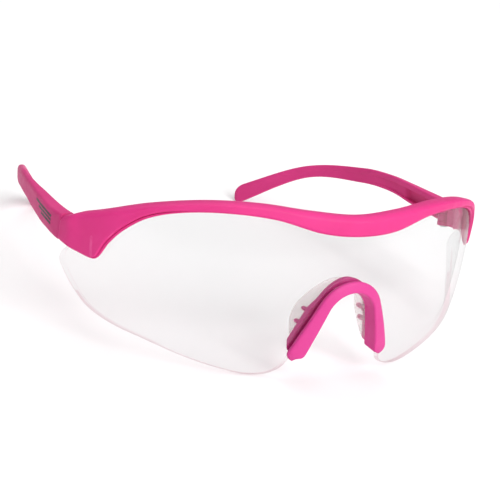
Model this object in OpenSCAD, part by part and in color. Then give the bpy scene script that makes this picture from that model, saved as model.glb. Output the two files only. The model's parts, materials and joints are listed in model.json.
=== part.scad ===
// Wraparound half-frame safety spectacles: brow frame, one-piece lens, nose bridge, soft pad and temples.
// The front is laid out on a curved sheet: s runs round the face, z up, and d outward from mid-lens.
// Everything is drawn as worn (lens facing -Y, temples level along +Y, +X on the wearer's left),
// then laid down to stand on a table on the lens and the tips of the temples.

/* [Front] */
// Radius of the lens in plan across the middle of the face
front_r = 91.4; // [85:0.1:100]
// Distance along the lens at which it starts to wrap round the temple
wrap_start = 51.4; // [48:0.1:54]
// Radius of the lens in plan at its sides
side_r = 51.1; // [46:0.1:56]
// Radius of the lens from top to bottom
vertical_r = 106; // [90:1:160]
// Lens thickness
lens_t = 2.0; // [1.8:0.1:2.2]

/* [Brow frame] */
// How far the frame's outer face stands off the middle of the lens
frame_out = 2.15; // [2.1:0.05:2.6]
// How far the frame's back stands in from the middle of the lens
frame_in = 2.45; // [2.2:0.05:3]
// Height of the rounded front edge below the top of the frame
ridge_drop = 1.6; // [1.2:0.1:2]
// Depth of the groove's roof below the top of the frame
groove_roof = 1.8; // [1.4:0.1:2.2]

/* [Nose bridge] */
// Radius of the arch over the nose
arch_r = 8.45; // [7.5:0.05:9.5]
// Height of the arch's centre
arch_z = -25.5; // [-27:0.1:-24]
// Splay of each leg from upright, in degrees
leg_splay = 25.8; // [20:0.1:27]
// Length of each leg below the arch
leg_len = 15; // [13:0.1:16]
// Width of the lip that covers the edge of the lens
lip_w = 3.1; // [2.8:0.1:3.6]
// How much each millimetre down a leg widens it towards the nose
leg_grow = 0.09; // [0:0.01:0.12]

/* [Temples] */
// Length of a temple from its seam with the frame to its tip
temple_len = 86; // [82:1:92]
// Distance from the middle of the front to the outside of a temple at its seam
seam_x = 71.6; // [71.4:0.1:72]
// Distance from the middle of the lens back to the seam
seam_y = 39.4; // [39.2:0.1:40]

/* [Hinges] */
// Radius of the rounded knuckles
knuckle_r = 2.2; // [2:0.1:2.3]
// Radius of the screw's shank
screw_r = 0.75; // [0.6:0.05:0.9]
// Clearance round the screw's shank
screw_gap = 0.05; // [0.02:0.01:0.08]

/* [Hidden] */

// Outlines, each a few [distance, height] points joined by a smooth curve
BROW_TOP = [[0, 4.6], [15, 5.8], [30, 7.6], [45, 7.9], [60, 6.4], [74, 3.5], [87, 1.3]];
BROW_BOTTOM = [[0, -1.4], [12, -0.4], [26, 3.3], [40, 4.7], [52, 4.2], [60, 2.2], [66, -1.4], [70, -5.2],
               [72.8, -9], [74.6, -9.9], [80, -8.3], [87, -6]];
LENS_BOTTOM = [[17.2, -37.3], [17.9, -38.2], [19, -39.2], [20.5, -40], [23.5, -40.8], [29, -40.9],
               [36, -39.5], [46, -36.6], [60, -31.4], [71, -27.4], [78, -23.4], [82.5, -18.4], [85.4, -13.8],
               [86.5, -11.6]];
LENS_CORNER = [[78, -5.55], [80.5, -6], [83.2, -7.4], [85.4, -8.9], [86.5, -10.8]];
TEMPLE_IN = [[0, 0], [0.25, -1.8], [0.5, -7], [0.75, -17], [1, -31.8]];
TEMPLE_Z = [[0, -2.3], [0.03, -1.7], [0.1, 0.15], [0.17, 1.6], [0.25, 3.4], [0.36, 5.9], [0.5, 7.4],
            [0.75, 5.8], [1, -4.7]];
TEMPLE_H = [[0, 7.4], [0.03, 6.9], [0.1, 5.5], [0.17, 5.4], [0.25, 5.3], [0.36, 4.5], [0.5, 4.1],
            [0.75, 4.3], [1, 6.6]];
PAD_DEPTH = [[-13, 3.3], [-7, 3.2], [-4, 3.4], [-1, 4.4], [1, 5.3], [3.5, 5.6], [6, 5.1], [9, 3.4],
             [11.5, 1.2]];

lens_end = 86.5;
lens_half = lens_t / 2;
groove_half = lens_half + 0.1;
edge_gap = 0.15;
ridge_out = 0.2;
groove_end_z = -5.4;
flap_start = 70;
flap_end = 78;
back_wall = 4.5;
front_tilt = 0.027;
bow_factor = 1 / (2 * vertical_r);

web_t = 1.75;
cut_r = arch_r + web_t + edge_gap;
bridge_front = 3.1;
lip_slope = 0.6;
bridge_back = 3.8;
pad_t = 1.5;
pad_flare = 0.45;
peg_r = 0.9;
peg_len = 3.4;
PEG_AT = [2.2, 6.3];

shell_t = 2.2;
temple_t = 4.6;
temple_tip_t = 2;
channel_d = 1.8;
channel_end = 0.42;
rim = 1.1;
seam_gap = 0.1;
seam_mid_z = -2.2;
seam_lean = 0.215;
hinge_x = seam_x - shell_t - 0.25 - knuckle_r;
hinge_y = seam_y + 2.8;
LUG_Z = [[-1.3, 0.1], [-5.2, -3.8]];
tongue_z = [-3.7, -1.4];
tongue_len = 3.2;
head_r = 1.4;
head_h = 0.6;

// Smooth curve through a list of [distance, height] points
function slope(c, i) =
    i == 0 ? 0
    : i == len(c) - 1 ? (c[i][1] - c[i - 1][1]) / (c[i][0] - c[i - 1][0])
    : (c[i + 1][1] - c[i - 1][1]) / (c[i + 1][0] - c[i - 1][0]);
function span(c, x, i = 0) = i >= len(c) - 2 || x < c[i + 1][0] ? i : span(c, x, i + 1);
function curve(c, x) =
    let (i = span(c, x), w = c[i + 1][0] - c[i][0], t = (x - c[i][0]) / w)
    let (m0 = slope(c, i) * w, m1 = slope(c, i + 1) * w)
    (2 * t ^ 3 - 3 * t ^ 2 + 1) * c[i][1] + (t ^ 3 - 2 * t ^ 2 + t) * m0
    + (3 * t ^ 2 - 2 * t ^ 3) * c[i + 1][1] + (t ^ 3 - t ^ 2) * m1;
function ease(x, a, b) = let (t = min(max((x - a) / (b - a), 0), 1)) t * t * (3 - 2 * t);

// A point of the curved sheet, in the worn position
function turn_1(s) = min(abs(s), wrap_start) / front_r * 180 / PI;
function turn_2(s) = max(abs(s) - wrap_start, 0) / side_r * 180 / PI;
function wrap(s, z, d) =
    let (a = turn_1(s), h = a + turn_2(s), side = s < 0 ? -1 : 1, off = d - z * z * bow_factor)
    [side * (front_r * sin(a) + side_r * (sin(h) - sin(a)) + off * sin(h)),
     front_r * (1 - cos(a)) + side_r * (cos(a) - cos(h)) - off * cos(h) - z * front_tilt,
     z];

// Outlines of the front
function brow_top(s) = curve(BROW_TOP, abs(s));
function brow_bottom(s) = curve(BROW_BOTTOM, abs(s));
function roof(s) = let (w = ease(abs(s), flap_start, flap_end))
    (1 - w) * (brow_top(s) - groove_roof) + w * groove_end_z;
function back_bottom(s) = let (w = ease(abs(s), flap_start, flap_end))
    (1 - w) * max(brow_bottom(s) + 0.6, brow_top(s) - back_wall) + w * (groove_end_z - 0.05);
function cut_z(s) = let (x = abs(s), edge = cut_r * cos(leg_splay))
    x < edge ? arch_z + sqrt(cut_r ^ 2 - x ^ 2)
    : arch_z + cut_r * sin(leg_splay) - (x - edge) / tan(leg_splay);
function lens_bottom(s) = let (x = abs(s), start = LENS_BOTTOM[0][0])
    x < start ? cut_z(x) : curve(LENS_BOTTOM, x);
function lens_top(s) = abs(s) < flap_end ? roof(s) - edge_gap : curve(LENS_CORNER, abs(s));

// A closed skin over rings of points that all have the same count, with its two ends closed by convex faces
function strip_faces(n) = [for (i = [0 : n / 2 - 2]) [i, i + 1, n - 2 - i, n - 1 - i]];
module skin(rings, ends) {
    n = len(rings[0]);
    last = len(rings) - 1;
    polyhedron(
        points = [for (r = rings) each r],
        faces = [
            for (e = ends) [for (j = [len(e) - 1 : -1 : 0]) e[j]],
            for (i = [0 : last - 1]) for (j = [0 : n - 1])
                let (k = (j + 1) % n)
                each [[i * n + j, i * n + k, (i + 1) * n + k],
                      [i * n + j, (i + 1) * n + k, (i + 1) * n + j]],
            for (e = ends) [for (j = e) last * n + j]
        ]
    );
}

// Positions along the front: even steps, closer together round the flaps
function both_sides(list) = concat([for (i = [len(list) - 1 : -1 : 1]) -list[i]], list);
BROW_S = both_sides([for (s = [0 : 4 : 60]) s, for (s = [62 : 1 : 82]) s]);
LENS_S = both_sides([for (s = [0 : 1 : 20]) s, for (s = [23 : 3 : 74]) s, for (s = [75 : 86]) s, lens_end]);

// Cross-section of the brow frame: [z, d] round the outer wall, top, back wall and groove
function brow_section(s) = [
    [brow_bottom(s), frame_out],
    [brow_top(s) - ridge_drop, frame_out + ridge_out],
    [brow_top(s) - 0.5, frame_out - 0.9],
    [brow_top(s), -frame_in + 0.6],
    [brow_top(s) - 0.6, -frame_in],
    [back_bottom(s), -frame_in],
    [back_bottom(s), -groove_half],
    [roof(s), -groove_half],
    [roof(s), groove_half],
    [brow_bottom(s), groove_half]
];
BROW_ENDS = [[0, 1, 8, 9], [1, 2, 3, 4, 7, 8], [4, 5, 6, 7]];
function brow_ring(s) = [for (p = brow_section(s)) wrap(s, p[0], p[1])];
// The seam, where a temple meets the frame, leans forward towards its top
function seam_at(z) = seam_y - (z - seam_mid_z) * seam_lean;
// The last ring on each side is flattened into the seam
function seam_ring(side) = [for (p = brow_section(87))
    [side * (seam_x - frame_out + p[1]), seam_at(p[0]) - seam_gap, p[0]]];

module each_side() {
    children();
    mirror([1, 0, 0]) children();
}

module hinge_lugs() {
    knuckle_in = hinge_x - knuckle_r;
    for (z = LUG_Z) {
        translate([hinge_x, hinge_y, z[0]]) cylinder(r = knuckle_r, h = z[1] - z[0], $fn = 48);
        translate([knuckle_in, seam_y - 4, z[0]]) cube([2 * knuckle_r, hinge_y - seam_y + 4, z[1] - z[0]]);
    }
    translate([knuckle_in, seam_y - 4, LUG_Z[1][0]])
        cube([2 * knuckle_r, 4.2, LUG_Z[0][1] - LUG_Z[1][0]]);
}

module screw_bore() {
    translate([hinge_x, hinge_y, -12]) cylinder(r = screw_r + screw_gap, h = 24, $fn = 48);
}

module brow_frame() {
    color("#e83a94") laid_down() {
        skin(concat([seam_ring(-1)], [for (s = BROW_S) brow_ring(s)], [seam_ring(1)]), BROW_ENDS);
        each_side() difference() {
            hinge_lugs();
            screw_bore();
        }
    }
}

// The lens: a strip of the sheet from its bottom edge to its top edge
function lens_ring(s) = let (low = lens_bottom(s), high = lens_top(s), steps = 7) concat(
    [for (i = [0 : steps]) wrap(s, low + (high - low) * i / steps, lens_half)],
    [for (i = [steps : -1 : 0]) wrap(s, low + (high - low) * i / steps, -lens_half)]
);

module lens() {
    color("#eef1f3", 0.45) laid_down() skin([for (s = LENS_S) lens_ring(s)], strip_faces(16));
}

// The path over the nose: q is 0 where the arch meets a leg, below 0 round the arch, above 0 down the leg
function nose_turn(q) = 90 - leg_splay + min(q, 0) / arch_r * 180 / PI;
function nose_point(q, out, side) =
    [side * ((arch_r + out) * sin(nose_turn(q)) + max(q, 0) * sin(leg_splay)),
     arch_z + (arch_r + out) * cos(nose_turn(q)) - max(q, 0) * cos(leg_splay)];
function nose_wrap(q, out, d, side) = let (p = nose_point(q, out, side)) wrap(p[0], p[1], d);
arch_half = arch_r * (90 - leg_splay) * PI / 180;
LEG_Q = [for (q = [0 : 2 : 12]) q, leg_len];
ARCH_Q = [for (i = [0 : 9]) -arch_half * (1 - i / 10)];
NOSE_Q = concat(ARCH_Q, LEG_Q);
function nose_path() = concat(
    [for (i = [len(NOSE_Q) - 1 : -1 : 1]) [NOSE_Q[i], -1]],
    [for (q = NOSE_Q) [q, 1]]
);

// Channel section of the bridge: [out, d] round its front lip, web and back lip
function bridge_section(q) =
    let (in = -leg_grow * max(q, 0), lip = lip_w + leg_grow / 2 * max(q, 0))
    let (low = bridge_front - lip_slope) [
        [in, bridge_front - 0.5], [in + 0.5, bridge_front], [lip - 0.6, low], [lip, low - 0.5],
        [lip, groove_half], [web_t, groove_half],
        [web_t, -groove_half], [lip, -groove_half],
        [lip, -bridge_back + 0.6], [lip - 0.6, -bridge_back],
        [in + 0.5, -bridge_back], [in, -bridge_back + 0.5]
    ];
BRIDGE_ENDS = [[0, 1, 2, 3, 4, 5], [0, 5, 6, 11], [6, 7, 8, 9, 10, 11]];
function bridge_ring(q, side) = [for (c = bridge_section(q)) nose_wrap(q, c[0], c[1], side)];

module nose_peg(q, side) {
    foot = nose_wrap(q, lip_w / 2, -bridge_back + 0.6, side);
    head = nose_wrap(q, lip_w / 2, -bridge_back - 1, side);
    way = head - foot;
    translate(foot) rotate([0, acos(way[2] / norm(way)), atan2(way[1], way[0])])
        cylinder(r = peg_r, h = peg_len, $fn = 32);
}

module nose_bridge() {
    color("#ee4fa2") laid_down() {
        skin([for (p = nose_path()) bridge_ring(p[0], p[1])], BRIDGE_ENDS);
        for (side = [-1, 1]) for (q = PEG_AT) nose_peg(q, side);
    }
}

// The soft pad: a saddle that flares as it runs back from the bridge, widest part way down each leg
function pad_point(q, side, depth, out) =
    nose_wrap(q, out + pad_flare * depth, -bridge_back - 0.1 - depth, side);
function pad_ring(q, side) = let (deep = curve(PAD_DEPTH, q), steps = 4) concat(
    [for (i = [0 : steps]) pad_point(q, side, deep * i / steps, lip_w / 2 + pad_t / 2 - 0.3)],
    [for (i = [steps : -1 : 0]) pad_point(q, side, deep * i / steps, lip_w / 2 - pad_t / 2 - 0.3)]
);

module nose_pad() {
    path = [for (p = nose_path()) if (p[0] < 11) p];
    rings = [for (p = path) pad_ring(p[0], p[1])];
    color("#e8e4e4", 0.6) laid_down()
        skin(concat([pad_ring(11.4, -1)], rings, [pad_ring(11.4, 1)]), strip_faces(10));
}

// A temple: v runs from 0 at the seam to 1 at the tip
function temple_out(v) = seam_x + curve(TEMPLE_IN, v) + 0.2 * temple_len * v * max(1 - v / 0.25, 0) ^ 2;
function temple_turn(v) = let (e = 0.002, a = max(v - e, 0), b = min(v + e, 1))
    atan((temple_out(b) - temple_out(a)) / (temple_len * (b - a)));
// The top edge is full thickness from the seam, as a flange over the hinge. The wall below starts as a shell.
function flange_thick(v) = temple_t - (temple_t - temple_tip_t) * ease(v, 0.04, 0.4);
function temple_thick(v) = flange_thick(v) - (temple_t - shell_t) * (1 - ease(v * temple_len, 6.6, 8));
function channel(v) =
    0.05 + (channel_d - 0.05) * ease(v * temple_len, 8.6, 10.6) * (1 - ease(v, 0.2, channel_end));
function temple_ring(v) =
    let (t = temple_thick(v), f = flange_thick(v), h = curve(TEMPLE_H, v) / 2)
    let (c = channel(v), a = temple_turn(v))
    let (x0 = temple_out(v), y0 = seam_y + seam_gap + v * (temple_len - seam_gap), z0 = curve(TEMPLE_Z, v))
    let (lean = seam_lean * (1 - ease(v, 0, 0.3)))
    let (k = min(0.7, h / 3))
    [for (p = [[k, -h], [0, k - h], [0, h - k], [k, h], [f - 0.4, h], [f, h - 0.4], [f, h - rim],
               [t - c, h - rim], [t - c, rim - h], [t, rim - h], [t, 0.4 - h], [t - 0.4, -h]])
        [x0 - p[0] * cos(a), y0 + p[0] * sin(a) - lean * (z0 + p[1] - seam_mid_z), z0 + p[1]]];
TEMPLE_ENDS = [[0, 1, 2, 7, 8, 9, 10, 11], [2, 3, 4, 5, 6, 7]];
TEMPLE_V = [for (y = [0, 1.5, 4, 6.6, 7.3, 8, 8.6, 9.6, 10.6]) y / temple_len,
            for (i = [4 : 25]) i / 26, 0.985, 1];

// The tip is rounded off by drawing the last rings in
function tip_scale(v) = v > 0.99 ? 0.55 : v > 0.98 ? 0.88 : 1;
function rounded_ring(v) =
    let (r = temple_ring(v), mid = (r[0] + r[3] + r[4] + r[11]) / 4, k = tip_scale(v))
    [for (p = r) mid + (p - mid) * k];

module temple() {
    difference() {
        union() {
            skin([for (v = TEMPLE_V) rounded_ring(v)], TEMPLE_ENDS);
            translate([hinge_x, hinge_y, tongue_z[0]]) {
                cylinder(r = knuckle_r, h = tongue_z[1] - tongue_z[0], $fn = 48);
                translate([0, -knuckle_r + 0.5, 0])
                    cube([knuckle_r + 0.8, knuckle_r - 0.5 + tongue_len, tongue_z[1] - tongue_z[0]]);
            }
        }
        screw_bore();
    }
}

module left_temple() {
    color("#cf3b86") laid_down() temple();
}

module right_temple() {
    color("#cf3b86") laid_down() mirror([1, 0, 0]) temple();
}

// The screw goes in from below, where the flange of the temple doesn't cover it
module hinge_screw() {
    under = LUG_Z[1][0];
    translate([hinge_x, hinge_y, under - 0.1])
        cylinder(r = screw_r, h = LUG_Z[0][1] - under + 0.1, $fn = 48);
    difference() {
        translate([hinge_x, hinge_y, under - head_h]) cylinder(r = head_r, h = head_h, $fn = 48);
        translate([hinge_x - 2, hinge_y - 0.2, under - 1.5 * head_h]) cube([4, 0.4, head_h]);
    }
}

module left_hinge_screw() {
    color("silver") laid_down() hinge_screw();
}

module right_hinge_screw() {
    color("silver") laid_down() mirror([1, 0, 0]) hinge_screw();
}

// From the worn position to the table: the back drops until the lens and both temple tips touch
lens_points = [for (s = [20 : 2 : 40]) for (d = [-1, 1]) wrap(s, lens_bottom(s), d * lens_half)];
tip_points = [for (v = [each [0.8 : 0.02 : 0.96], 0.985, 1]) each rounded_ring(v)];
nose_points = [for (q = NOSE_Q) each bridge_ring(q, 1)];
rest_grade = min([for (p = tip_points) max([for (f = lens_points) (p[2] - f[2]) / (p[1] - f[1])])]);
rest_tilt = atan(rest_grade);
function drop(p) = p[2] * cos(rest_tilt) - p[1] * sin(rest_tilt);
function reach(p) = p[1] * cos(rest_tilt) + p[2] * sin(rest_tilt);
floor_z = min([for (p = concat(lens_points, tip_points)) drop(p)]);
front_y = min([for (p = nose_points) reach(p)]);
rear_y = max([for (p = tip_points) reach(p)]);

module laid_down() {
    translate([0, -(front_y + rear_y) / 2, -floor_z]) rotate([-rest_tilt, 0, 0]) children();
}

brow_frame();
lens();
nose_bridge();
nose_pad();
left_temple();
right_temple();
left_hinge_screw();
right_hinge_screw();
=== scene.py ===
"""Looks of the wraparound half-frame safety spectacles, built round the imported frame.

Shapes are drawn in millimetres as worn (lens facing -Y, temples along +Y, +X on the wearer's left), on the
same curved sheet as the part: s runs round the face, z up, d outward from the middle of the lens.
laid() puts worn points on the table, in metres."""

import json
import math

import bmesh
import bpy
import numpy as np
from mathutils import Matrix, Vector


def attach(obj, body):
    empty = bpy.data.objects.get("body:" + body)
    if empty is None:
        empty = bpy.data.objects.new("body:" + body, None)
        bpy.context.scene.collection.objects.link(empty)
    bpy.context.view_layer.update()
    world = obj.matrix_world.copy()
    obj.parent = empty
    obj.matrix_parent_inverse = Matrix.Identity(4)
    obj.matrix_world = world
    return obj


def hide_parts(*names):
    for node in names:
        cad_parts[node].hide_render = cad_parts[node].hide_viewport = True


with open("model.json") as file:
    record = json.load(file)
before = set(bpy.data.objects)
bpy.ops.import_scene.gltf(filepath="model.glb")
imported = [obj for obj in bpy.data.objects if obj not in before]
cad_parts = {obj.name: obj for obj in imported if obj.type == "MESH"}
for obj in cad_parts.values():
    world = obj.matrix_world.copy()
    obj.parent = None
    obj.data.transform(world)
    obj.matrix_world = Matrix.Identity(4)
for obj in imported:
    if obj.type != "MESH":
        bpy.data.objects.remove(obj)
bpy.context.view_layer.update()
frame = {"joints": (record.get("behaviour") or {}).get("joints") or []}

MM = 0.001

# Front, as in the part
FRONT_R, WRAP_START, SIDE_R, VERTICAL_R = 91.4, 51.4, 51.1, 106.0
FRONT_TILT = 0.027
LENS_HALF, GROOVE_HALF, LENS_END = 1.0, 1.1, 86.5
FRAME_OUT, FRAME_IN, RIDGE_DROP, GROOVE_ROOF = 2.15, 2.45, 1.6, 1.8
GROOVE_END_Z, FLAP_START, FLAP_END, BACK_WALL, EDGE_GAP = -5.4, 70.0, 78.0, 4.5, 0.15
ARCH_R, ARCH_Z, LEG_SPLAY, LEG_LEN, LIP_W = 8.45, -25.5, math.radians(25.8), 15.0, 3.1
WEB_T, BRIDGE_FRONT, BRIDGE_BACK, LIP_SLOPE, LEG_GROW = 1.75, 3.1, 3.8, 0.6, 0.09
CUT_R = ARCH_R + WEB_T + EDGE_GAP
ARCH_HALF = ARCH_R * (math.pi / 2 - LEG_SPLAY)
PAD_T, PAD_FLARE, PAD_END = 1.5, 0.45, 11.0
PAD_MIDDLE = LIP_W / 2 - 0.3
PEG_AT = (2.2, 6.3)
# Temples and hinges, as in the part
TEMPLE_LEN, SEAM_X, SEAM_Y, SEAM_GAP = 86.0, 71.6, 39.4, 0.1
SEAM_MID_Z, SEAM_LEAN = -2.2, 0.215
SEAM_TO, SIDE_SLOPE = 87.0, 0.2
SHELL_T, TEMPLE_T, TIP_T, RIM = 2.2, 4.6, 2.0, 1.1
KNUCKLE_R, SCREW_R, BORE_R, HEAD_R, HEAD_H = 2.2, 0.75, 0.8, 1.4, 0.6
HINGE_GAP, HINGE_BACK = 0.25, 2.8
HINGE_X, HINGE_Y = SEAM_X - SHELL_T - HINGE_GAP - KNUCKLE_R, SEAM_Y + HINGE_BACK
LUG_Z = ((-5.2, -3.8), (-1.3, 0.1))
TONGUE_Z, TONGUE_LEN = (-3.7, -1.4), 3.2
HINGE_Z = -2.4
# Only in the looks: flaps eased flat towards the seam, legs with longer rounded ends, the pad's seat in the
# bridge, the temple's deeper lower edge and its rounded tip
SEAM_FROM, SIDE_RUN = 77.0, 0.98
LEG_SHOWN, LEG_TIP, REAR_SHORT = LEG_LEN + 1.3, 2.3, 3.6
PAD_SEAT, PAD_EDGE = 1.35, -1.25
BELLY, TIP_LONG = 1.1, 3.2
# The printed mark: its span, half height of a bar, how far out and in it goes, and each bar's height up and
# part of the full length
MARK_FROM, MARK_TO, MARK_HALF = 4.6, 17.4, 0.33
MARK_OUT, MARK_ROOT = 0.01, 0.08
MARK_BARS = ((1.05, 1.0), (0.05, 0.8), (-0.95, 0.6))

# Outlines, each a few (distance, height) points joined by a smooth curve
BROW_TOP = ((0, 4.6), (15, 5.8), (30, 7.6), (45, 7.9), (60, 6.4), (74, 3.5), (87, 1.3))
BROW_BOTTOM = (
    (0, -1.4), (12, -0.4), (26, 3.3), (40, 4.7), (52, 4.2), (60, 2.2),
    (66, -1.4), (70, -5.2), (72.8, -9), (74.6, -9.9), (80, -8.3), (87, -6),
)
LENS_BOTTOM = (
    (17.2, -37.3), (17.9, -38.2), (19, -39.2), (20.5, -40), (23.5, -40.8), (29, -40.9), (36, -39.5),
    (46, -36.6), (60, -31.4), (71, -27.4), (78, -23.4), (82.5, -18.4), (85.4, -13.8), (86.5, -11.6),
)
LENS_CORNER = ((78, -5.55), (80.5, -6), (83.2, -7.4), (85.4, -8.9), (86.5, -10.8))
TEMPLE_IN = ((0, 0), (0.25, -1.8), (0.5, -7), (0.75, -17), (1, -31.8))
TEMPLE_Z = (
    (0, -2.3), (0.03, -1.7), (0.1, 0.15), (0.17, 1.6), (0.25, 3.4), (0.36, 5.9), (0.5, 7.4), (0.75, 5.8),
    (1, -4.7),
)
TEMPLE_H = (
    (0, 7.4), (0.03, 6.9), (0.1, 5.5), (0.17, 5.4), (0.25, 5.3), (0.36, 4.5), (0.5, 4.1), (0.75, 4.3),
    (1, 6.6),
)
REAR_LIP = (
    (-9.5, 3.85), (-6, 3.25), (-4, 2.85), (-2, 2.6), (-1, 2.75), (0, 3.15), (1, 3.45), (2, 3.7), (4, 3.85),
    (18, 4.0),
)
PAD_DEPTH = (
    (-13, 3.3), (-7, 3.2), (-4, 3.4), (-1, 4.4), (1, 5.3), (3.5, 5.6), (6, 5.1), (9, 3.4), (11.5, 1.2),
)

# The table frame, from the left hinge's place in the record
HINGE = next(j for j in frame["joints"] if j["name"] == "left_temple_fold")
REST = math.atan2(HINGE["axis"][1], HINGE["axis"][2])
LAY = Matrix.Rotation(-REST, 3, "X")
SHIFT = Vector(HINGE["pos_m"]) - LAY @ (Vector((HINGE_X, HINGE_Y, HINGE_Z)) * MM)


def laid(points):
    """Worn points in millimetres, as table points in metres."""
    return [LAY @ (Vector(p) * MM) + SHIFT for p in points]


# ---------------------------------------------------------------- curves and the curved sheet
def share(x, a, b, most=1.0):
    """How far x has gone from a to b, held between 0 and most."""
    return min(max((x - a) / (b - a), 0.0), most)


def ease(x, a, b):
    t = share(x, a, b)
    return t * t * (3 - 2 * t)


def mix(a, b, w):
    return a + (b - a) * w


def slope(c, i):
    if i == 0:
        return 0.0
    j = min(i + 1, len(c) - 1)
    return (c[j][1] - c[i - 1][1]) / (c[j][0] - c[i - 1][0])


def curve(c, x):
    """Height at x of the smooth curve through the points c."""
    i = 0
    while i < len(c) - 2 and x >= c[i + 1][0]:
        i += 1
    w = c[i + 1][0] - c[i][0]
    t = (x - c[i][0]) / w
    m0, m1 = slope(c, i) * w, slope(c, i + 1) * w
    return (
        (2 * t**3 - 3 * t**2 + 1) * c[i][1] + (t**3 - 2 * t**2 + t) * m0
        + (3 * t**2 - 2 * t**3) * c[i + 1][1] + (t**3 - t**2) * m1
    )


def turns(s):
    a = min(abs(s), WRAP_START) / FRONT_R
    return a, a + max(abs(s) - WRAP_START, 0) / SIDE_R


def wrap(s, z, d):
    """A point of the curved sheet."""
    a, h = turns(s)
    side = -1 if s < 0 else 1
    off = d - z * z / (2 * VERTICAL_R)
    across = FRONT_R * math.sin(a) + SIDE_R * (math.sin(h) - math.sin(a)) + off * math.sin(h)
    back = FRONT_R * (1 - math.cos(a)) + SIDE_R * (math.cos(a) - math.cos(h)) - off * math.cos(h)
    return side * across, back - z * FRONT_TILT, z


def steps(a, b, n):
    return [a + (b - a) * i / n for i in range(n + 1)]


def round_angles(count):
    return [2 * math.pi * i / count for i in range(count)]


def both_sides(values):
    return [-v for v in reversed(values[1:])] + list(values)


def rounded(corners, count=5):
    """A closed outline: each (u, v, reach) corner becomes a short arc that starts reach before it."""
    out = []
    for i, (u, v, reach) in enumerate(corners):
        here = np.array((u, v))
        ends = []
        for j in (i - 1, (i + 1) % len(corners)):
            way = np.array(corners[j][:2]) - here
            long = max(np.hypot(*way), 1e-6)
            ends.append(here + way / long * min(reach, 0.48 * long))
        for k in steps(0, 1, count - 1):
            out.append(tuple((1 - k) ** 2 * ends[0] + 2 * k * (1 - k) * here + k * k * ends[1]))
    return out


# ---------------------------------------------------------------- meshes
def make_object(name, verts, faces, sharp=math.radians(38)):
    mesh = bpy.data.meshes.new(name)
    mesh.from_pydata([tuple(v) for v in verts], [], faces)
    bm = bmesh.new()
    bm.from_mesh(mesh)
    bmesh.ops.remove_doubles(bm, verts=bm.verts, dist=1e-7)
    bmesh.ops.dissolve_degenerate(bm, edges=bm.edges, dist=1e-7)
    bmesh.ops.recalc_face_normals(bm, faces=bm.faces)
    bm.to_mesh(mesh)
    bm.free()
    mesh.shade_smooth()
    mesh.set_sharp_from_angle(angle=sharp)
    obj = bpy.data.objects.new(name, mesh)
    bpy.context.scene.collection.objects.link(obj)
    return obj


def skin(rings, base, closed):
    """Faces over rings of equal counts, numbered from base."""
    n, last = len(rings[0]), len(rings) - 1
    faces = []
    for i in range(last + 1 if closed else last):
        a, b = base + i * n, base + (i + 1) % (last + 1) * n
        faces += [(a + j, a + (j + 1) % n, b + (j + 1) % n, b + j) for j in range(n)]
    if not closed:
        faces.append(tuple(base + j for j in reversed(range(n))))
        faces.append(tuple(base + last * n + j for j in range(n)))
    return faces


def skinned(name, parts, **options):
    """One object from several skins: parts is a list of (rings, closed)."""
    verts, faces = [], []
    for rings, closed in parts:
        faces += skin(rings, len(verts), closed)
        for ring in rings:
            verts += laid(ring)
    return make_object(name, verts, faces, **options)


def mirrored(rings):
    return [[(-x, y, z) for x, y, z in ring] for ring in rings]


def on_side(rings, side):
    return rings if side > 0 else mirrored(rings)


# ---------------------------------------------------------------- brow frame
def seam_at(z):
    return SEAM_Y - (z - SEAM_MID_Z) * SEAM_LEAN


def frame_point(s, z, d):
    """The curved sheet, eased over to a flat side that ends flush with its temple."""
    side = -1 if s < 0 else 1
    x, y, z = wrap(s, z, d)
    t = share(abs(s), SEAM_FROM, SEAM_TO)
    w = t**3 * (10 - 15 * t + 6 * t * t)
    to_seam = SEAM_TO - abs(s)
    flat_x = SEAM_X - FRAME_OUT + d - SIDE_SLOPE * to_seam
    flat_y = seam_at(z) - SEAM_GAP - SIDE_RUN * to_seam
    return (side * mix(abs(x), flat_x, w), mix(y, flat_y, w), z)


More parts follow.
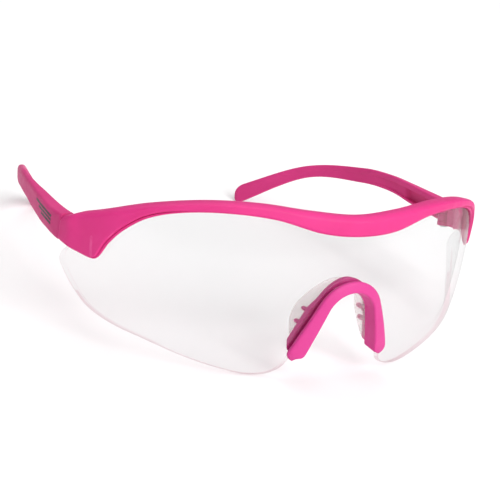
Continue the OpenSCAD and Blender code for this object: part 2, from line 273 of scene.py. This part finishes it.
def brow_section(s):
    """(z, d) outline of the brow frame. Near the flap a thin ledge on the lens steps up to a rolled edge."""
    x, near = abs(s), 0.2
    top, bottom = curve(BROW_TOP, x) - 0.03, curve(BROW_BOTTOM, x)
    ahead, behind = curve(BROW_BOTTOM, min(x + near, SEAM_TO)), curve(BROW_BOTTOM, max(x - near, 0))
    lean = (ahead - behind) / (2 * near)
    rise = math.hypot(1, lean)
    w = ease(x, 44, 60) * (1 - ease(x, 71.5, 76))
    flap = ease(x, FLAP_START, FLAP_END)
    roof = mix(top - GROOVE_ROOF, GROOVE_END_Z, flap)
    back = mix(max(bottom + 0.6, top - BACK_WALL), GROOVE_END_Z - 0.05, flap)
    ledge = mix(FRAME_OUT - 0.45, 1.62, w)
    body = FRAME_OUT + 0.03
    tall = top - bottom
    ridge = min(RIDGE_DROP, tall * 0.3)
    roll = mix(0.75, 1.5, w) * rise
    crown = bottom + max(roll + 0.6, tall * 0.5)
    return rounded([
        (bottom, GROOVE_HALF, 0.05),
        (bottom, ledge, 0.12 + 0.1 * (1 - w)),
        (bottom + (0.5 * w + 0.06) * rise, ledge + 0.03, 0.08),
        (bottom + (0.58 * w + 0.09) * rise, ledge - 0.42 * w, 0.06),
        (bottom + (0.72 * w + 0.12) * rise, ledge + 0.1 * w + 0.02, 0.12),
        (bottom + mix(0.4, 0.95, w) * rise, body + 0.06 * w - 0.12 * (1 - w), 0.3),
        (bottom + roll, body + 0.14 * w, mix(0.3, 0.45, w)),
        (min(crown, top - ridge - 0.7), body + 0.08, 0.7),
        (top - ridge, body + 0.12, 0.8),
        (top - 0.38, FRAME_OUT - 1.0, 0.7),
        (top, -FRAME_IN + 0.9, 0.5),
        (top - 0.6, -FRAME_IN, 0.35),
        (back, -FRAME_IN, 0.3),
        (back, -GROOVE_HALF, 0.04),
        (roof, -GROOVE_HALF, 0.02),
        (roof, GROOVE_HALF, 0.02),
    ])


def brow_rings():
    places = both_sides(steps(0, 58, 58) + steps(58, 79, 105)[1:] + steps(79, 86.6, 24)[1:])
    rings = [[frame_point(s, z, d) for z, d in brow_section(s)] for s in places]
    section = brow_section(SEAM_TO)  # the seam's edge is eased over
    middle_z, middle_d = np.mean(section, axis=0)
    drawn_in = [(mix(z, middle_z, 0.03), mix(d, middle_d, 0.07)) for z, d in section]
    ends = [[frame_point(s, z, d) for z, d in drawn_in] for s in (-SEAM_TO, SEAM_TO)]
    return [ends[0]] + rings + [ends[1]]


def boss_rings(outline, low, high):
    """A bored lug or tongue: outline(angle) is its reach from the hinge's axis."""
    angles, bevel = round_angles(64), 0.18

    def ring(z, inset=None):
        reach = [BORE_R if inset is None else outline(a) - inset for a in angles]
        return [(HINGE_X + r * math.cos(a), HINGE_Y + r * math.sin(a), z) for r, a in zip(reach, angles)]

    return [
        ring(low), ring(low, bevel), ring(low + bevel * 0.3, bevel * 0.3), ring(low + bevel, 0),
        ring(high - bevel, 0), ring(high - bevel * 0.3, bevel * 0.3), ring(high, bevel), ring(high),
    ]


def box_reach(a, x0, x1, y0, y1):
    """How far a ray at angle a from the origin runs inside the box."""
    dx, dy = math.cos(a), math.sin(a)
    rx = (x1 if dx > 0 else x0) / dx if abs(dx) > 1e-9 else 1e9
    ry = (y1 if dy > 0 else y0) / dy if abs(dy) > 1e-9 else 1e9
    return max(min(rx, ry), 0)


def lug_outline(a):
    return max(KNUCKLE_R, box_reach(a, -0.2 * KNUCKLE_R, KNUCKLE_R, -6.0, 1e-6))


def tongue_outline(a):
    return max(KNUCKLE_R, box_reach(a, -1e-6, KNUCKLE_R + 0.8, -KNUCKLE_R + 0.5, TONGUE_LEN))


def hinge_block_rings():
    """The web that joins the two lugs and fairs into the flap, rounded at its top and bottom."""
    inner = HINGE_X - KNUCKLE_R
    plan = rounded([
        (inner + 0.8, SEAM_Y + 0.15, 0.4), (inner + 1.2, SEAM_Y - 3.0, 1.8), (inner + 3.2, SEAM_Y - 6.4, 1.0),
        (inner + 4.2, SEAM_Y - 5.8, 0.3), (inner + 4.4, SEAM_Y + 0.15, 0.1),
    ], 8)
    low, high = LUG_Z[0][0], LUG_Z[1][1]
    cx, cy = inner + 2.6, SEAM_Y - 2
    rings = []
    rounding = ((0, 0.7), (0.1, 0.84), (0.35, 0.95), (0.8, 1))
    levels = [(low + rise, k) for rise, k in rounding] + [(high - rise, k) for rise, k in reversed(rounding)]
    for z, k in levels:
        rings.append([(cx + (x - cx) * k, cy + (y - cy) * (k if y < cy else 1), z) for x, y in plan])
    return rings


def hinge_rings():
    parts = [(boss_rings(lug_outline, *z), True) for z in LUG_Z]
    return parts + [(hinge_block_rings(), False)]


def other_side(parts):
    return [(mirrored(rings), closed) for rings, closed in parts]


def two_sides(parts):
    return parts + other_side(parts)


# ---------------------------------------------------------------- lens
def cut_z(s):
    edge = CUT_R * math.cos(LEG_SPLAY)
    if s < edge:
        return ARCH_Z + math.sqrt(CUT_R**2 - s * s)
    return ARCH_Z + CUT_R * math.sin(LEG_SPLAY) - (s - edge) / math.tan(LEG_SPLAY)


def lens_bottom(s):
    s = abs(s)
    return cut_z(s) if s < LENS_BOTTOM[0][0] else curve(LENS_BOTTOM, s)


def lens_top(s):
    s = abs(s)
    if s >= FLAP_END:
        return curve(LENS_CORNER, s)
    flap = ease(s, FLAP_START, FLAP_END)
    return mix(curve(BROW_TOP, s) - GROOVE_ROOF, GROOVE_END_Z, flap) - EDGE_GAP


def lens_ring(s):
    low, high = lens_bottom(s) + 0.045, lens_top(s)
    side = [(z, LENS_HALF, 0.0) for z in steps(low, high, 14)]
    side[0] = (low, LENS_HALF, 0.5)
    side[-1] = (high, LENS_HALF, 0.4)
    corners = side + [(z, -d, r) for z, d, r in reversed(side)]
    out = []
    for i, (z, d) in enumerate(rounded(corners, 5)):
        if corners[i // 5][2] > 0 or i % 5 == 2:
            out.append(wrap(s, z, d))
    return out


def lens_rings():
    ends = [LENS_END - (LENS_END - FLAP_END) * (1 - t) ** 2 for t in steps(0, 1, 26)]
    return [lens_ring(s) for s in both_sides(steps(0, 20, 80) + steps(20, FLAP_END, 80)[1:] + ends[1:])]


def sheet_way(point):
    """The way outward from the curved sheet, at a worn point."""
    a = WRAP_START / FRONT_R
    cx, cy = 0.0, FRONT_R
    if abs(point.x) > FRONT_R * math.sin(a):
        cx = math.copysign((FRONT_R - SIDE_R) * math.sin(a), point.x)
        cy = FRONT_R - (FRONT_R - SIDE_R) * math.cos(a)
    return Vector((point.x - cx, point.y - cy, point.z * FRONT_R / VERTICAL_R)).normalized()


def paint_edge_reflection(lens):
    """Gives the rounded corners of the lens's edge their own material, whose pinkish tint is a painted
    reflection of the pink frame in the clear edge.
    """
    back = LAY.transposed()
    for face in lens.data.polygons:
        way = sheet_way(back @ (face.center - SHIFT) / MM)
        if 0.2 < abs((back @ face.normal).dot(way)) < 0.8:
            face.material_index = 1


# ---------------------------------------------------------------- nose bridge and pad
def nose_wrap(q, out, d, side):
    """q is 0 where the arch meets a leg, below 0 round the arch and above 0 down the leg."""
    turn = math.pi / 2 - LEG_SPLAY + min(q, 0) / ARCH_R
    down = max(q, 0)
    s = side * ((ARCH_R + out) * math.sin(turn) + down * math.sin(LEG_SPLAY))
    z = ARCH_Z + (ARCH_R + out) * math.cos(turn) - down * math.cos(LEG_SPLAY)
    return wrap(s, z, d)


def nose_path(leg, arch_steps):
    """(q, side) from the end of one leg over the arch to the other, for the places leg down a leg."""
    rows = [-ARCH_HALF * (1 - t) for t in steps(0, 1, arch_steps)] + leg
    return [(q, -1) for q in reversed(rows[1:])] + [(q, 1) for q in rows]


def bridge_inside(q):
    return -0.15 - LEG_GROW * max(q, 0)


def bridge_section(q):
    """(out, d): a front lip, the web in the lens cut-out and a rear lip, cut back for the pad."""
    inside, lip = bridge_inside(q), LIP_W + LEG_GROW / 2 * max(q, 0)
    low = BRIDGE_FRONT - LIP_SLOPE
    rear = curve(REAR_LIP, q)
    return rounded([
        (inside, BRIDGE_FRONT - 0.35, 0.22), (inside + 0.35, BRIDGE_FRONT, 0.3),
        (lip - 0.6, low, 0.5), (lip, low - 0.45, 0.3),
        (lip, GROOVE_HALF, 0.12), (WEB_T, GROOVE_HALF, 0.1), (WEB_T, -GROOVE_HALF, 0.1),
        (rear, -GROOVE_HALF, 0.12), (rear, -BRIDGE_BACK + 0.6, 0.4), (rear - 0.6, -BRIDGE_BACK, 0.4),
        (inside + PAD_SEAT + 0.3, -BRIDGE_BACK, 0.2), (inside + PAD_SEAT, -BRIDGE_BACK + 0.3, 0.2),
        (inside + PAD_SEAT, PAD_EDGE, 0.1), (inside, PAD_EDGE, 0.2),
    ], 6)


def leg_end(d):
    """How far down a leg ends at depth d: its rear stops short of its front."""
    return LEG_SHOWN - REAR_SHORT * (1 - ease(d, -3.6, 1.6))


def bridge_rings():
    leg = steps(0, LEG_SHOWN - LEG_TIP, 34)[1:]
    leg += [LEG_SHOWN - LEG_TIP * (1 - math.sin(t)) for t in steps(0, math.pi / 2, 16)[1:]]
    rings = []
    for q, side in nose_path(leg, 30):
        ring = []
        t = share(q, LEG_SHOWN - LEG_TIP, LEG_SHOWN, 0.9985)
        width = (1 - t**2.5) ** (1 / 2.5)
        middle = (bridge_inside(q) + LIP_W) / 2
        for out, d in bridge_section(q):
            here = q * leg_end(d) / LEG_SHOWN if q > 0 else q
            here += 0.26 * (out - middle) * ease(q, 8, LEG_SHOWN)
            deep = mix(d, math.copysign(min(abs(d), 1.2), d), (1 - width) * 0.25)
            ring.append(nose_wrap(here, middle + (out - middle) * width, deep, side))
        rings.append(ring)
    return rings


def peg_rings(q, side):
    """A tapered peg that leans with the pad, inside its thickness."""
    foot = Vector(nose_wrap(q, PAD_MIDDLE, -BRIDGE_BACK + 0.6, side))
    way = (Vector(nose_wrap(q, PAD_MIDDLE + PAD_FLARE * 3 - 0.2, -BRIDGE_BACK - 3, side)) - foot).normalized()
    across = way.orthogonal().normalized()
    other = way.cross(across)
    rings = []
    for along, r in ((0, 0.8), (0.7, 0.7), (3.4, 0.68), (3.85, 0.58), (4.08, 0.4), (4.15, 0.1)):
        middle = foot + way * along
        around = [(across * math.cos(a) + other * math.sin(a)) * r for a in round_angles(24)]
        rings.append([tuple(middle + arm) for arm in around])
    return rings


def pad_ring(q, side, keep=1.0):
    """A wing that flares back from the bridge, and a sleeve that runs forward over its nose side."""
    deep, half = curve(PAD_DEPTH, q), PAD_T / 2 * keep
    outer, inner = PAD_MIDDLE + half, PAD_MIDDLE - half
    inside, front = bridge_inside(q), PAD_EDGE + BRIDGE_BACK - 0.02
    corners = [
        (outer, 0.02, 0.1), (outer, deep * 0.5, 0.6), (outer - half * 0.15, deep, half),
        (inner + half * 0.15, deep, half), (inner, deep * 0.5, 0.6), (inner, 0.4, 0.3),
        (inside + 0.05, -front, 0.3), (inside + PAD_SEAT * 0.9, -front, 0.05),
        (inside + PAD_SEAT * 0.9, 0.02, 0.1),
    ]
    ring = []
    for out, depth in rounded(corners, 6):
        back = max(depth, 0)
        cup = 0.35 * math.sin(math.pi * min(back / deep, 1))
        ring.append(nose_wrap(q, out + PAD_FLARE * back - cup, -BRIDGE_BACK - 0.1 - depth, side))
    return ring


def pad_rings():
    rings = [pad_ring(q, side) for q, side in nose_path(steps(0, PAD_END, 30)[1:], 24)]
    tips = [(PAD_END + more, keep) for more, keep in ((0.2, 0.93), (0.33, 0.75), (0.4, 0.4))]
    return [pad_ring(q, -1, k) for q, k in reversed(tips)] + rings + [pad_ring(q, 1, k) for q, k in tips]


# ---------------------------------------------------------------- temples
def temple_out(v):
    return SEAM_X + curve(TEMPLE_IN, v) + SIDE_SLOPE * TEMPLE_LEN * v * max(1 - v / 0.25, 0) ** 2


def temple_turn(v):
    a, b = max(v - 0.002, 0), min(v + 0.002, 1)
    return math.atan((temple_out(b) - temple_out(a)) / (TEMPLE_LEN * (b - a)))


def temple_sizes(v):
    """Thickness of the top flange and of the wall, half height, channel depth and upper rim."""
    y = v * TEMPLE_LEN
    flange = TEMPLE_T - (TEMPLE_T - TIP_T) * ease(v, 0.04, 0.4)
    wall = flange - (TEMPLE_T - SHELL_T) * (1 - ease(y, 6.6, 8))
    channel = 0.04 + ease(y, 8.6, 10.4) * (0.6 * (1 - ease(y, 27, 42)) + 1.3 * (1 - ease(y, 22.5, 24.5)))
    return flange, wall, curve(TEMPLE_H, v) / 2 - 0.02, channel, mix(RIM, 1.75, ease(y, 8, 12))


def temple_place(v, inward, up):
    """A point of the temple: inward from its outer face and up from its middle line."""
    a = temple_turn(v)
    y0, z0 = SEAM_Y + SEAM_GAP + v * (TEMPLE_LEN - SEAM_GAP), curve(TEMPLE_Z, v)
    lean = SEAM_LEAN * (1 - ease(v, 0, 0.3))
    return (
        temple_out(v) - inward * math.cos(a),
        y0 + inward * math.sin(a) - lean * (z0 + up - SEAM_MID_Z),
        z0 + up,
    )


def temple_section(v):
    f, t, h, c, rim = temple_sizes(v)
    edge = min(0.9, h * 0.4)
    low = h + BELLY * ease(v, 0.0, 0.13) * (1 - ease(v, 0.45, 0.75))
    upper, lower = h - rim, 0.8 - low
    lean = 0.15 * min(c, 1)
    return rounded([
        (0.33, -low, 0.1 + edge * 0.5), (0.05, -low + edge, 0.5), (0.03, 0.0, 0.8), (0.05, h - edge, 0.5),
        (0.5, h, 0.1 + edge * 0.5), (f - 0.3, h, 0.3), (f, h - 0.35, 0.2), (f, upper, 0.12),
        (t - c, upper - lean, 0.2), (t - c, lower + lean, 0.2), (t, lower, 0.12),
        (t, -low + 0.35, 0.2), (t - 0.3, -low, 0.3),
    ])


def temple_rings():
    near = [0, 0.06, 0.2, 0.5] + steps(1.0, 12, 32)
    along = near + steps(12, TEMPLE_LEN - TIP_LONG, 92)[1:]
    along += [TEMPLE_LEN - TIP_LONG * (1 - math.sin(t)) for t in steps(0, math.pi / 2, 12)[1:]]
    rings = []
    for y in along:
        v = min(y / TEMPLE_LEN, 1)
        middle = temple_sizes(v)[0] / 2
        t = share(y, TEMPLE_LEN - TIP_LONG, TEMPLE_LEN, 0.9995)
        tall = (1 - t**2.4) ** (1 / 2.4)
        wide = math.sqrt(1 - 0.9 * share(t, 0.55, 1.0) ** 2)
        seam = 1 - 0.05 * (1 - ease(y, 0, 0.5))
        ring = []
        for inward, up in temple_section(v):
            inward = middle + (inward - middle) * wide * seam
            ring.append(temple_place(v, inward, up * tall * mix(seam, 1, 0.5)))
        rings.append(ring)
    return rings


def mark_rings():
    """The generic printed mark: three plain bars, one under another."""
    section = (
        (MARK_ROOT, -MARK_HALF), (MARK_OUT, -MARK_HALF), (MARK_OUT, MARK_HALF), (MARK_ROOT, MARK_HALF),
    )
    parts = []
    for middle, long in MARK_BARS:
        along = steps(MARK_FROM, mix(MARK_FROM, MARK_TO, long), 24)
        rings = [[temple_place(y / TEMPLE_LEN, i, middle + u) for i, u in section] for y in along]
        parts.append((rings, False))
    return parts


# ---------------------------------------------------------------- screws
def lathe(profile):
    angles = round_angles(40)
    return [[(HINGE_X + r * math.cos(a), HINGE_Y + r * math.sin(a), z) for a in angles] for r, z in profile]


def screw(name, side):
    """A lathed screw with a driver slot cut across its head, which is underneath."""
    top, under = LUG_Z[1][1], LUG_Z[0][0]
    profile = [
        (0.3, top - 0.02), (SCREW_R - 0.1, top - 0.02), (SCREW_R, top - 0.12), (SCREW_R, under),
        (HEAD_R - 0.08, under), (HEAD_R, under - 0.08), (HEAD_R, under - 0.28), (HEAD_R - 0.14, under - 0.42),
        (HEAD_R - 0.5, under - 0.54), (0.4, under - HEAD_H), (0.02, under - HEAD_H),
    ]
    crease = math.radians(30)
    body = skinned(name, [(on_side(lathe(profile), side), False)], sharp=crease)
    corners = ((-2, -0.2), (2, -0.2), (2, 0.2), (-2, 0.2))
    slot = [(HINGE_X + x, HINGE_Y + y, z) for z in (under - 1.2, under - 0.28) for x, y in corners]
    cutter = skinned(name + "_slot", [(on_side([slot[:4], slot[4:]], side), False)])
    cut = body.modifiers.new("slot", "BOOLEAN")
    cut.operation, cut.object, cut.solver = "DIFFERENCE", cutter, "EXACT"
    dg = bpy.context.evaluated_depsgraph_get()
    mesh = bpy.data.meshes.new_from_object(body.evaluated_get(dg), depsgraph=dg)
    body.modifiers.clear()
    body.data = mesh
    bpy.data.objects.remove(cutter)
    mesh.set_sharp_from_angle(angle=crease)
    return body


# ---------------------------------------------------------------- materials
class Nodes:
    """A material with short ways to add and join its nodes."""

    def __init__(self, name):
        self.material = bpy.data.materials.new(name)
        self.material.use_nodes = True
        self.tree = self.material.node_tree
        self.tree.nodes.clear()
        self.out = self.add("ShaderNodeOutputMaterial")
        self.where = self.add("ShaderNodeTexCoord").outputs["Object"]

    def add(self, kind, **values):
        node = self.tree.nodes.new(kind)
        for key, value in values.items():
            setattr(node, key, value)
        return node

    def join(self, a, b):
        self.tree.links.new(a, b)

    def noise(self, scale, detail=3.0, rough=0.5):
        node = self.add("ShaderNodeTexNoise")
        node.inputs["Scale"].default_value = scale
        node.inputs["Detail"].default_value = detail
        node.inputs["Roughness"].default_value = rough
        self.join(self.where, node.inputs["Vector"])
        return node.outputs["Fac"]

    def spread(self, value, low, high, start=0.3, end=0.7):
        node = self.add("ShaderNodeMapRange")
        node.inputs["From Min"].default_value, node.inputs["From Max"].default_value = start, end
        node.inputs["To Min"].default_value, node.inputs["To Max"].default_value = low, high
        self.join(value, node.inputs["Value"])
        return node.outputs["Result"]

    def blend(self, factor, a, b):
        node = self.add("ShaderNodeMix", data_type="RGBA")
        sockets = {s.identifier: s for s in node.inputs}
        for key, value in (("A_Color", a), ("B_Color", b)):
            if isinstance(value, tuple):
                sockets[key].default_value = (*value, 1)
            else:
                self.join(value, sockets[key])
        self.join(factor, sockets["Factor_Float"])
        return next(s for s in node.outputs if s.identifier == "Result_Color")

    def bump(self, height, strength, distance, under=None):
        node = self.add("ShaderNodeBump")
        node.inputs["Strength"].default_value = strength
        node.inputs["Distance"].default_value = distance
        self.join(height, node.inputs["Height"])
        if under is not None:
            self.join(under, node.inputs["Normal"])
        return node.outputs["Normal"]


def moulded_plastic(name, colour, deep, worn, grain=0.3, rough=(0.46, 0.6), specular=0.3):
    """Satin moulded plastic: faint cloudy colour, a fine grain, and pointy edges painted a little lighter,
    towards the worn colour, as a painted highlight.
    """
    m = Nodes(name)
    shader = m.add("ShaderNodeBsdfPrincipled")
    cloud = m.spread(m.noise(70, 4), 0, 1)
    body = m.blend(cloud, deep, colour)
    # Painted highlight: pointy edges, flecked by a fine noise, are mixed towards the worn colour, which is
    # the colour of a painted edge sheen.
    edge = m.spread(m.add("ShaderNodeNewGeometry").outputs["Pointiness"], 0, 0.55, 0.52, 0.62)
    speck = m.spread(m.noise(900, 2), 0.3, 1)
    edge_sheen = m.add("ShaderNodeMath", operation="MULTIPLY")
    m.join(edge, edge_sheen.inputs[0])
    m.join(speck, edge_sheen.inputs[1])
    m.join(m.blend(edge_sheen.outputs[0], body, worn), shader.inputs["Base Color"])
    m.join(m.spread(m.noise(420, 3), *rough), shader.inputs["Roughness"])
    wave = m.bump(m.noise(140, 2), 0.12, 0.0002)
    m.join(m.bump(m.noise(5200, 2, 0.6), grain, 0.00003, wave), shader.inputs["Normal"])
    shader.inputs["Specular IOR Level"].default_value = specular
    shader.inputs["Subsurface Weight"].default_value = 0.06
    shader.inputs["Subsurface Radius"].default_value = (0.0012, 0.0004, 0.0006)
    m.join(shader.outputs[0], m.out.inputs["Surface"])
    return m.material


def see_through(name, passed, film, gloss_rough, body=None, veil=0.0):
    """A clear sheet: it passes light, mirrors more at a glance, and may hold a thin milky body."""
    m = Nodes(name)
    clear = m.add("ShaderNodeBsdfTransparent")
    m.join(m.blend(m.spread(m.noise(35, 3), 0, 1), passed, film), clear.inputs["Color"])
    base = clear.outputs[0]
    facing = m.add("ShaderNodeLayerWeight")
    facing.inputs["Blend"].default_value = 0.5
    if body is not None:
        milk = m.add("ShaderNodeBsdfPrincipled")
        dim = tuple(c * 0.95 for c in body)
        m.join(m.blend(m.spread(m.noise(90, 2), 0, 1), body, dim), milk.inputs["Base Color"])
        m.join(m.spread(m.noise(400, 2), 0.4, 0.55), milk.inputs["Roughness"])
        milk.inputs["Specular IOR Level"].default_value = 0.2
        joined = m.add("ShaderNodeMixShader")
        joined.inputs[0].default_value = veil
        m.join(base, joined.inputs[1])
        m.join(milk.outputs[0], joined.inputs[2])
        base = joined.outputs[0]
    gloss = m.add("ShaderNodeBsdfAnisotropic")
    m.join(m.spread(m.noise(500, 2), gloss_rough * 0.8, gloss_rough * 1.4), gloss.inputs["Roughness"])
    power = m.add("ShaderNodeMath", operation="POWER")
    power.inputs[1].default_value = 5.0
    m.join(facing.outputs["Facing"], power.inputs[0])
    top = m.add("ShaderNodeMixShader")
    m.join(m.spread(power.outputs[0], 0.04, 0.6, 0.0, 1.0), top.inputs[0])
    m.join(base, top.inputs[1])
    m.join(gloss.outputs[0], top.inputs[2])
    m.join(top.outputs[0], m.out.inputs["Surface"])
    return m.material


def printed_ink(name):
    m = Nodes(name)
    shader = m.add("ShaderNodeBsdfPrincipled")
    ink = m.blend(m.spread(m.noise(1600, 3), 0, 1), (0.035, 0.03, 0.035), (0.075, 0.05, 0.065))
    m.join(ink, shader.inputs["Base Color"])
    m.join(m.spread(m.noise(800, 2), 0.45, 0.65), shader.inputs["Roughness"])
    m.join(m.bump(m.noise(4200, 2), 0.25, 0.00002), shader.inputs["Normal"])
    m.join(shader.outputs[0], m.out.inputs["Surface"])
    return m.material


def plated_steel(name):
    m = Nodes(name)
    shader = m.add("ShaderNodeBsdfPrincipled")
    shader.inputs["Metallic"].default_value = 1.0
    metal = m.blend(m.spread(m.noise(900, 3), 0, 1), (0.62, 0.62, 0.64), (0.5, 0.5, 0.52))
    m.join(metal, shader.inputs["Base Color"])
    m.join(m.spread(m.noise(2600, 3), 0.2, 0.4), shader.inputs["Roughness"])
    m.join(m.bump(m.noise(7000, 2), 0.3, 0.00001), shader.inputs["Normal"])
    m.join(shader.outputs[0], m.out.inputs["Surface"])
    return m.material


def pale_floor(name):
    m = Nodes(name)
    shader = m.add("ShaderNodeBsdfPrincipled")
    pale = m.blend(m.spread(m.noise(3, 2), 0, 1), (0.93, 0.93, 0.93), (0.95, 0.95, 0.95))
    m.join(pale, shader.inputs["Base Color"])
    m.join(m.spread(m.noise(40, 2), 0.8, 0.95), shader.inputs["Roughness"])
    shader.inputs["Specular IOR Level"].default_value = 0.1
    m.join(shader.outputs[0], m.out.inputs["Surface"])
    return m.material


# The third colour of each plastic is the colour of its painted edge highlight.
FRAME_PINK = moulded_plastic(
    "frame_pink_plastic", (0.72, 0.033, 0.228), (0.66, 0.027, 0.2), (0.81, 0.12, 0.35),
)
BRIDGE_PINK = moulded_plastic(
    "bridge_pink_plastic", (0.67, 0.05, 0.275), (0.62, 0.042, 0.25), (0.8, 0.15, 0.42), 0.35,
)
TEMPLE_PINK = moulded_plastic(
    "temple_pink_plastic", (0.67, 0.036, 0.215), (0.6, 0.03, 0.185), (0.75, 0.12, 0.31), 0.45,
)
LENS_CLEAR = see_through("lens_polycarbonate", (0.957, 0.958, 0.958), (0.949, 0.95, 0.951), 0.14)
# Painted reflection: the pinkish tint on the rounded corners of the lens's edge stands in for the pink frame
# seen in the clear edge.
LENS_EDGE_REFLECTION = see_through("lens_edge_reflection", (0.9, 0.79, 0.82), (0.88, 0.76, 0.79), 0.15)
PAD_CLEAR = see_through(
    "pad_elastomer", (0.972, 0.958, 0.954), (0.964, 0.948, 0.943), 0.4, (0.95, 0.89, 0.88), 0.24,
)
INK = printed_ink("printed_ink")
STEEL = plated_steel("plated_steel")


# ---------------------------------------------------------------- pieces
def put(obj, body, slot, *materials, replaces=()):
    for material in materials:
        obj.data.materials.append(material)
    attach(obj, body)
    if replaces:
        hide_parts(*replaces)
    return obj


brow = skinned("brow_frame_moulding", [(brow_rings(), False)] + two_sides(hinge_rings()))
put(brow, "front", "frame_pink", FRAME_PINK, replaces=("brow_frame",))

lens = skinned("shield_lens", [(lens_rings(), False)])
put(lens, "front", "lens_clear", LENS_CLEAR, LENS_EDGE_REFLECTION, replaces=("lens",))
paint_edge_reflection(lens)

pegs = [(peg_rings(q, side), False) for side in (-1, 1) for q in PEG_AT]
bridge = skinned("nose_bridge_channel", [(bridge_rings(), False)] + pegs)
put(bridge, "front", "bridge_pink", BRIDGE_PINK, replaces=("nose_bridge",))

pad = skinned("saddle_pad", [(pad_rings(), False)], sharp=math.radians(75))
put(pad, "front", "pad_clear", PAD_CLEAR, replaces=("nose_pad",))

tongue = (boss_rings(tongue_outline, *TONGUE_Z), True)
left_arm = skinned("left_temple_arm", [(temple_rings(), False), tongue])
put(left_arm, "left_temple", "temple_pink", TEMPLE_PINK, replaces=("left_temple",))

right_arm = skinned("right_temple_arm", other_side([(temple_rings(), False), tongue]))
put(right_arm, "right_temple", "temple_pink", TEMPLE_PINK, replaces=("right_temple",))

mark = skinned("right_temple_mark", other_side(mark_rings()))
put(mark, "right_temple", "temple_pink", INK)

for side_name, side in (("left", 1), ("right", -1)):
    put(screw(side_name + "_pivot_screw", side), "front", "screw_steel", STEEL,
        replaces=(side_name + "_hinge_screw",))


# ---------------------------------------------------------------- floor, light and camera
def stage_floor():
    size = 4.0
    corners = [(-size, -size, 0), (size, -size, 0), (size, size, 0), (-size, size, 0)]
    floor = make_object("floor", corners, [(0, 1, 2, 3)])
    floor.data.materials.append(pale_floor("pale_floor"))


def soft_light(name, azimuth, elevation, distance, size, power):
    """A square softbox that faces the object. Azimuth 0 is in front of it and 90 on the wearer's left."""
    data = bpy.data.lights.new(name, "AREA")
    data.shape, data.size, data.energy = "SQUARE", size, power
    light = bpy.data.objects.new(name, data)
    a, e = math.radians(azimuth), math.radians(elevation)
    way = Vector((math.sin(a) * math.cos(e), -math.cos(a) * math.cos(e), math.sin(e)))
    light.location = way * distance
    light.rotation_euler = way.to_track_quat("Z", "Y").to_euler()
    bpy.context.scene.collection.objects.link(light)


def soft_world(strength):
    world = bpy.data.worlds.new("studio")
    bpy.context.scene.world = world
    world.use_nodes = True
    back = world.node_tree.nodes["Background"]
    back.inputs["Color"].default_value = (1, 1, 1, 1)
    back.inputs["Strength"].default_value = strength


CAMERA_AZ, CAMERA_EL, CAMERA_ROLL = math.radians(-33.325), math.radians(7.875), math.radians(3.094)
CAMERA_DISTANCE, CAMERA_TARGET = 416.716, (-18.858, 25.0, -8.2536)
CAMERA_LENS, SENSOR = 106.09556, 36.0


def make_camera():
    a, e = CAMERA_AZ, CAMERA_EL
    back = Vector((math.sin(a) * math.cos(e), -math.cos(a) * math.cos(e), math.sin(e)))
    right = Vector((math.cos(a), math.sin(a), 0))
    up = Vector((-math.sin(a) * math.sin(e), math.cos(a) * math.sin(e), math.cos(e)))
    c, n = math.cos(CAMERA_ROLL), math.sin(CAMERA_ROLL)
    right, up = right * c + up * n, up * c - right * n
    data = bpy.data.cameras.new("camera")
    data.sensor_width = SENSOR
    data.lens = CAMERA_LENS
    data.clip_start, data.clip_end = 0.01, 50
    camera = bpy.data.objects.new("camera", data)
    axes = Matrix([LAY @ right, LAY @ up, LAY @ back]).transposed()
    place = laid([Vector(CAMERA_TARGET) + back * CAMERA_DISTANCE])[0]
    camera.matrix_world = Matrix.Translation(place) @ axes.to_4x4()
    bpy.context.scene.collection.objects.link(camera)
    bpy.context.scene.camera = camera


stage_floor()
soft_world(0.34)
soft_light("key", 8, 38, 2.8, 2.0, 66.0)
soft_light("fill", 50, 35, 2.8, 2.0, 12.0)
soft_light("top", 180, 70, 2.8, 2.4, 34.0)
make_camera()
scene = bpy.context.scene
scene.view_settings.view_transform = "Standard"
scene.cycles.transparent_max_bounces = 24
